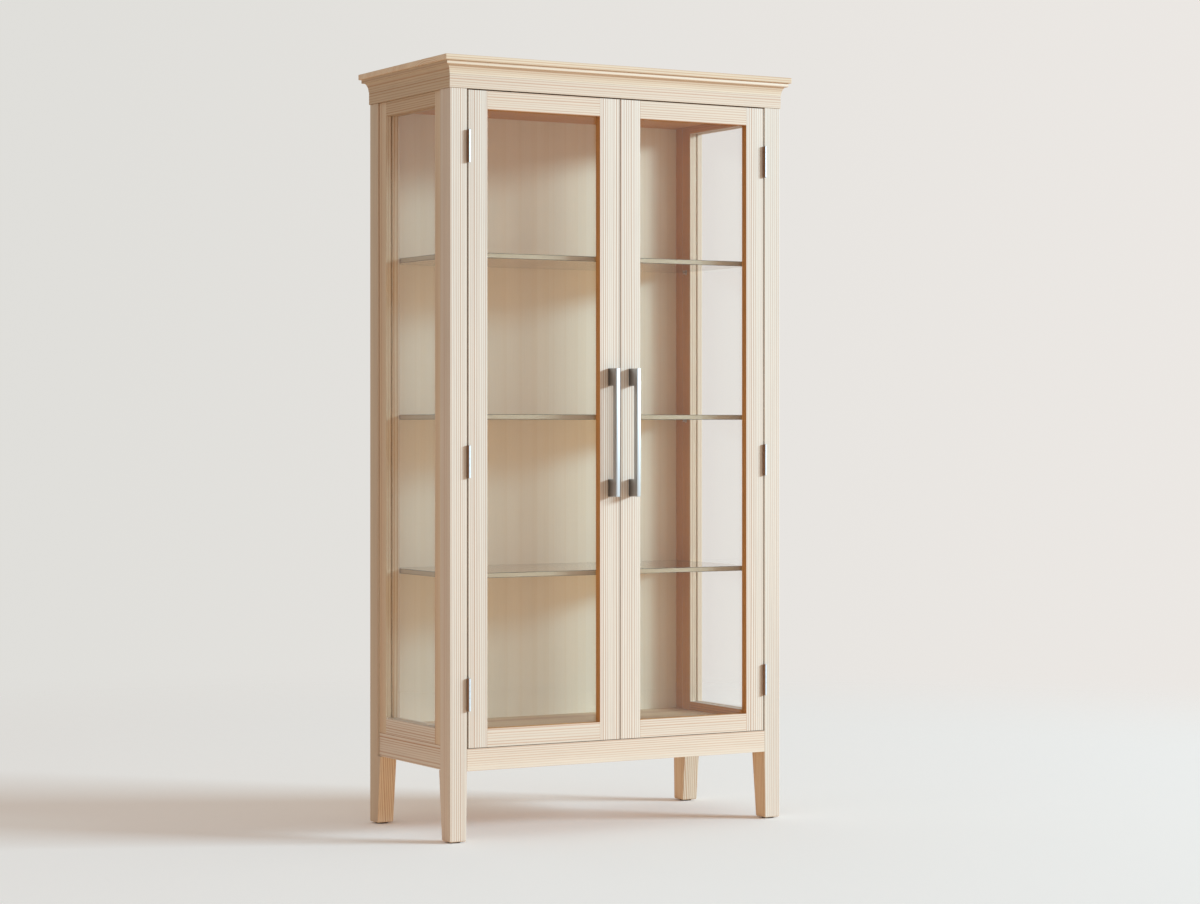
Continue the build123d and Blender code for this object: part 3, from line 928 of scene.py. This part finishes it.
def leafWalls(side):
    # Where the frame's and the door's leaves are screwed on, and where their free faces lie.
    post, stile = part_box(f"front_{side}_post"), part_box(f"{side}_door_hinge_stile")
    frameWall, doorWall = (post[1].x, stile[0].x) if side == "left" else (post[0].x, stile[1].x)
    thick = sides[side] * hingeLook["leaf"]
    return {"frame": (frameWall, frameWall - thick), "door": (doorWall, doorWall + thick)}


def knuckleOutline(axisX, axisY, leafNear, leafFar, plateFront):
    # The rolled end of a leaf: round the pin, with a short neck back to the plate.
    r, steps = hingeLook["radius"], hingeLook["knuckleSteps"]
    inset = [math.sqrt(r * r - (x - axisX) ** 2) for x in (leafNear, leafFar)]
    start = math.atan2(inset[0], leafNear - axisX)
    finish = math.atan2(inset[1], leafFar - axisX)
    turn = (finish - start) % math.tau
    if turn < math.pi:
        turn -= math.tau
    angles = [start + turn * i / steps for i in range(steps + 1)]
    arc = [(axisX + r * math.cos(angle), axisY + r * math.sin(angle)) for angle in angles]
    return [(leafNear, plateFront), *arc, (leafFar, plateFront)]


def hingeLeaves(side, holder):
    look = hingeLook
    wall, face = leafWalls(side)[holder]
    near, far, first = (wall, face, 0) if holder == "frame" else (face, wall, 1)
    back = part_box(f"{side}_door_hinge_leaves")[1].y
    plateFront = frontFace + look["plateInset"]
    pitch = look["length"] / look["knuckles"]
    outline = knuckleOutline(joint[side][0], joint[side][1], near, far, plateFront)
    parts = []
    for z in hingeLevels():
        bottom = z - look["length"] / 2
        parts.append(boxMesh(
            (min(near, far), plateFront, bottom), (max(near, far), back, bottom + look["length"])
        ))
        for order in range(first, look["knuckles"], 2):
            z0 = bottom + order * pitch + look["gap"] / 2
            z1 = z0 + pitch - look["gap"]
            knuckle = sweepSections([[(x, y, z) for x, y in outline] for z in (z0, z1)])
            easeEdges(knuckle, look["ease"], angle=60)
            parts.append(knuckle)
    return parts


screwLook = {
    "levels": (-26 * mm, 0, 26 * mm),     # from the hinge's middle
    "inset": 11 * mm,          # from the door's front face
    "length": 15 * mm,
    "shank": 1.5 * mm,
    "head": 3.4 * mm,
    "rim": 0.15 * mm,
    "taper": 4 * mm,           # the shank narrows over this length
    "point": 2 * mm,           # and is half as thick here, before its end
    "crossArm": 0.62,          # the recess, as shares of the head's radius
    "crossHalfWidth": 0.14,
    "crossDepth": 0.9 * mm,
}


def woodScrew(x, y, z, direction):
    # Countersunk, along X, with a cross recess in its head.
    look = screwLook
    head, shank, rimWidth, length = look["head"], look["shank"], look["rim"], look["length"]
    body = turned([
        (0, -length), (shank * 0.5, look["point"] - length), (shank, look["taper"] - length),
        (shank, -hingeLook["leaf"]), (head, -rimWidth), (head - rimWidth, 0),
    ], (0, 0, 0), None)
    rim = [e for e in body.edges if all(abs(v.co.z) < fineWeld for v in e.verts)]
    arm, slot = head * look["crossArm"], head * look["crossHalfWidth"]
    quarter = [(arm, slot), (slot, slot), (slot, arm)]
    plus = [
        *quarter, *[(-a, b) for a, b in reversed(quarter)], *[(-a, -b) for a, b in quarter],
        *[(a, -b) for a, b in reversed(quarter)],
    ]
    verts = [body.verts.new((px, py, 0)) for px, py in plus]
    cross = [body.edges.new((verts[i], verts[(i + 1) % len(verts)])) for i in range(len(verts))]
    bmesh.ops.triangle_fill(body, edges=rim + cross, use_beauty=True)
    middles = {f: f.calc_center_median() for f in body.faces if all(v in verts for v in f.verts)}
    inner = [f for f, middle in middles.items() if min(abs(middle.x), abs(middle.y)) < slot]
    bmesh.ops.delete(body, geom=inner, context="FACES_KEEP_BOUNDARY")
    floor = body.faces.new(verts)
    sunk = bmesh.ops.extrude_discrete_faces(body, faces=[floor])["faces"][0]
    bmesh.ops.translate(body, vec=(0, 0, -look["crossDepth"]), verts=sunk.verts)
    bmesh.ops.recalc_face_normals(body, faces=body.faces)
    rotation = Matrix.Rotation(math.radians(90 * direction), 3, "Y")
    bmesh.ops.rotate(body, cent=(0, 0, 0), matrix=rotation, verts=body.verts)
    bmesh.ops.translate(body, vec=(x, y, z), verts=body.verts)
    return body


def hinges():
    look = hingeLook
    leaves, pins, frameScrews = [], [], []
    pinRadius, head, half = look["pinRadius"], look["pinHead"], look["length"] / 2
    # (radius, share of the head's height)
    domed = [(head, 0.0), (head, 0.4), (head * 0.7, 1.0), (0, 1.0)]
    top = [(pinRadius, half), *[(r, half + share * look["pinHeadHeight"]) for r, share in domed]]
    pinOutline = [(r, -z) for r, z in reversed(top)] + top
    y = frontFace + screwLook["inset"]
    for side, sign in sides.items():
        leaves += hingeLeaves(side, "frame")
        makePiece(
            f"{side}DoorHingeLeaves", hingeLeaves(side, "door"), hingeSteel, f"{side}_door_hinge_leaves",
            smooth=20,
        )
        walls = leafWalls(side)
        doorScrews = []
        for z in hingeLevels():
            pins.append(turned(pinOutline, (joint[side][0], joint[side][1], z), None))
            for level in screwLook["levels"]:
                frameScrews.append(woodScrew(walls["frame"][1], y, z + level, -sign))
                doorScrews.append(woodScrew(walls["door"][1], y, z + level, sign))
        makePiece(
            f"{side}DoorHingeScrews", doorScrews, hingeSteel, f"{side}_door_hinge_screws",
            smooth=20,
        )
    makePiece("frameHingeLeaves", leaves, hingeSteel, "frame_hinge_leaves", smooth=20)
    makePiece("hingePins", pins, hingeSteel, "hinge_pins", smooth=20)
    makePiece("frameHingeScrews", frameScrews, hingeSteel, "frame_hinge_screws", smooth=20)


boltLook = {
    "shank": 2 * mm,
    "head": 4 * mm,
    "headHeight": 2.4 * mm,
    "crown": ((1, 0.5), (0.8, 0.12), (0.35, 0)),     # (share of the radius, share of the height still to go)
}


def handleBolts(side):
    low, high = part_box(f"{side}_handle_bolts")
    x, length = (low.x + high.x) / 2, high.y - low.y
    shank, head, tall = boltLook["shank"], boltLook["head"], boltLook["headHeight"]
    outline = [(0, 0), (shank, 0), (shank, length - tall), (head, length - tall)]
    outline += [(head * wide, length - tall * left) for wide, left in boltLook["crown"]] + [(0, length)]
    bolts = [turned(outline, (x, low.y, z), (-90, "X")) for z in (low.z + head, high.z - head)]
    makePiece(f"{side}HandleBolts", bolts, hingeSteel, f"{side}_handle_bolts", smooth=35)


catchLook = {
    "sleeve": 4 * mm,
    "chamfer": 0.3 * mm,
    "ball": 2.8 * mm,
    "rise": 2.7 * mm,      # of the ball over the sleeve
    "ballSteps": 8,
    "turnSteps": 32,
}


def ballCatch(side):
    low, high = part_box(f"{side}_ball_catch")
    centre = (low + high) / 2
    sleeve, cut, ball, rise = (catchLook[key] for key in ("sleeve", "chamfer", "ball", "rise"))
    steps = catchLook["ballSteps"]
    top = high.z - rise
    outline = [(0, low.z - top), (sleeve, low.z - top), (sleeve, -cut), (sleeve - cut, 0)]
    startAngle = math.asin((rise - ball) / -ball)
    for i in range(steps + 1):
        angle = -startAngle + (math.pi / 2 + startAngle) * i / steps
        outline.append((ball * math.cos(angle), rise - ball + ball * math.sin(angle)))
    catch = turned(outline, (centre.x, centre.y, top), None, catchLook["turnSteps"])
    makePiece(f"{side}BallCatch", catch, hingeSteel, f"{side}_ball_catch", smooth=40)


hinges()
for side in sides:
    barHandle(side)
    handleBolts(side)
    ballCatch(side)
print("metal made")


# Floor, light and camera

stageLook = {
    "floor": "#FEFAF8",
    "floorBounce": "#FFDFC0",        # what the floor throws back on the object, warmer than it looks
    "floorRadius": 6.0,
    "floorSteps": 96,
    "fadeFrom": 2.2,                 # distances from the middle between which the floor melts into the back
    "fadeTo": 4.8,
    "backLeft": "#DFDEDA",
    "backRight": "#ECE8E4",
    "backBlend": 0.28,               # sine of the angle off the middle where each side's colour is full
    "sky": (0.565, 0.515, 0.465),    # what lights the shaded sides, a little warm
    "leftMirrored": 0.15,            # the left of the studio is dark in reflections, as behind a black flag
    "keyColour": (0.62, 0.85, 0.98),
    "keyPower": 5000,
    "keyDistance": 20.0,
    "keySize": (7.5, 2.75),          # wide and low, so the shadows are soft sideways and crisp in height
    "keyElevation": 14.8,
    "keyTurn": 84.0,                 # degrees to the right of the camera
    "keyAim": 0.9,                   # height that the lamp points at
}
cameraLook = {
    "place": (-3.5465, -6.2748, 0.9766),
    "turn": 29.914,          # degrees to the right of straight at the front
    "focalPixels": 2900,     # measured on the 1200 pixel wide picture
    "width": 1200,
    "drop": 24.5,            # the level line is this many pixels above the picture's middle
    "sensor": 36.0,
    "reach": 100.0,
}
viewTurn = math.radians(cameraLook["turn"])


def shownRays(tree, rays):
    # 1 where the camera sees a surface itself, through glass or in a reflection.
    clear = addNode(
        tree, "ShaderNodeMath", {"operation": "MAXIMUM"}, input0=rays["Is Camera Ray"],
        input1=rays["Is Transmission Ray"],
    )
    return addNode(
        tree, "ShaderNodeMath", {"operation": "MAXIMUM"}, input0=clear, input1=rays["Is Glossy Ray"]
    )


def floorDisc():
    # Matt painted floor: no gloss, so it only takes the shadows, and it grows clear towards its rim.
    bm = bmesh.new()
    bmesh.ops.create_circle(
        bm, cap_ends=True, segments=stageLook["floorSteps"], radius=stageLook["floorRadius"]
    )
    bmesh.ops.recalc_face_normals(bm, faces=bm.faces)
    mesh = bpy.data.meshes.new("studioFloor")
    bm.to_mesh(mesh)
    bm.free()
    floor = bpy.data.objects.new("studioFloor", mesh)
    scene.collection.objects.link(floor)
    material, tree = newTree("paleFloor")
    place = addNode(tree, "ShaderNodeTexCoord").outputs["Object"]
    distance = addNode(tree, "ShaderNodeVectorMath", {"operation": "LENGTH"}, input0=place).outputs["Value"]
    fade = addNode(
        tree, "ShaderNodeMapRange", {"interpolation_type": "SMOOTHSTEP"}, Value=distance,
        From_Min=stageLook["fadeFrom"], From_Max=stageLook["fadeTo"],
    )
    seen = shownRays(tree, addNode(tree, "ShaderNodeLightPath").outputs)
    colour = addNode(
        tree, "ShaderNodeMix", {"data_type": "RGBA"}, input0=seen,
        input6=linearColour(stageLook["floorBounce"]), input7=linearColour(stageLook["floor"]),
    ).outputs[2]
    paint = addNode(tree, "ShaderNodeBsdfDiffuse", Color=colour)
    clear = addNode(tree, "ShaderNodeBsdfTransparent")
    mixed = addNode(tree, "ShaderNodeMixShader", input0=fade, input1=paint, input2=clear)
    addNode(tree, "ShaderNodeOutputMaterial", Surface=mixed)
    mesh.materials.append(material)


def studioSky():
    world = bpy.data.worlds.new("studioSky")
    scene.world = world
    world.cycles.sampling_method = "NONE"     # an even sky needs no sampling of its own
    world.use_nodes = True
    tree = world.node_tree
    tree.nodes.clear()
    direction = addNode(tree, "ShaderNodeTexCoord").outputs["Generated"]
    rightward = (math.cos(viewTurn), -math.sin(viewTurn), 0)
    across = addNode(
        tree, "ShaderNodeVectorMath", {"operation": "DOT_PRODUCT"}, input0=direction, input1=rightward
    ).outputs["Value"]
    share = addNode(
        tree, "ShaderNodeMapRange", {"interpolation_type": "SMOOTHSTEP"}, Value=across,
        From_Min=-stageLook["backBlend"], From_Max=stageLook["backBlend"],
    )
    shown = addNode(
        tree, "ShaderNodeMix", {"data_type": "RGBA"}, input0=share,
        input6=linearColour(stageLook["backLeft"]), input7=linearColour(stageLook["backRight"]),
    ).outputs[2]
    rays = addNode(tree, "ShaderNodeLightPath").outputs
    seen = shownRays(tree, rays)
    # Only true reflections are dimmed: a ray that has come through glass counts as glossy too.
    flag = addNode(tree, "ShaderNodeMapRange", Value=share, To_Min=stageLook["leftMirrored"])
    reflected = addNode(
        tree, "ShaderNodeMath", {"operation": "SUBTRACT", "use_clamp": True}, input0=rays["Is Glossy Ray"],
        input1=rays["Is Transmission Ray"],
    )
    mirrored = addNode(tree, "ShaderNodeMix", input0=reflected, input2=1.0, input3=flag)
    backColour = addNode(tree, "ShaderNodeVectorMath", {"operation": "SCALE"}, input0=shown, Scale=mirrored)
    light = addNode(tree, "ShaderNodeBackground", Color=(*stageLook["sky"], 1), Strength=1.0)
    backdrop = addNode(tree, "ShaderNodeBackground", Color=backColour, Strength=1.0)
    mixed = addNode(tree, "ShaderNodeMixShader", input0=seen, input1=light, input2=backdrop)
    addNode(tree, "ShaderNodeOutputWorld", Surface=mixed)


def keyLight():
    lamp = bpy.data.lights.new("keyLamp", "AREA")
    lamp.shape = "RECTANGLE"
    lamp.size, lamp.size_y = stageLook["keySize"]
    lamp.energy = stageLook["keyPower"]
    lamp.color = stageLook["keyColour"]
    holder = bpy.data.objects.new("keyLamp", lamp)
    scene.collection.objects.link(holder)
    rise = math.radians(stageLook["keyElevation"])
    around = math.radians(stageLook["keyTurn"]) - viewTurn
    toLamp = Vector((math.sin(around) * math.cos(rise), -math.cos(around) * math.cos(rise), math.sin(rise)))
    holder.location = Vector((0, 0, stageLook["keyAim"])) + toLamp * stageLook["keyDistance"]
    holder.rotation_euler = (-toLamp).to_track_quat("-Z", "Y").to_euler()
    holder.visible_camera = False


def studioCamera():
    lens = bpy.data.cameras.new("viewCamera")
    lens.sensor_width = cameraLook["sensor"]
    lens.lens = cameraLook["focalPixels"] / cameraLook["width"] * lens.sensor_width
    lens.shift_y = -cameraLook["drop"] / cameraLook["width"]
    lens.clip_end = cameraLook["reach"]
    camera = bpy.data.objects.new("viewCamera", lens)
    camera.location = cameraLook["place"]
    camera.rotation_euler = (math.radians(90), 0, -viewTurn)
    scene.collection.objects.link(camera)
    scene.camera = camera


floorDisc()
studioSky()
keyLight()
studioCamera()
scene.view_settings.view_transform = "Standard"
print("stage made")
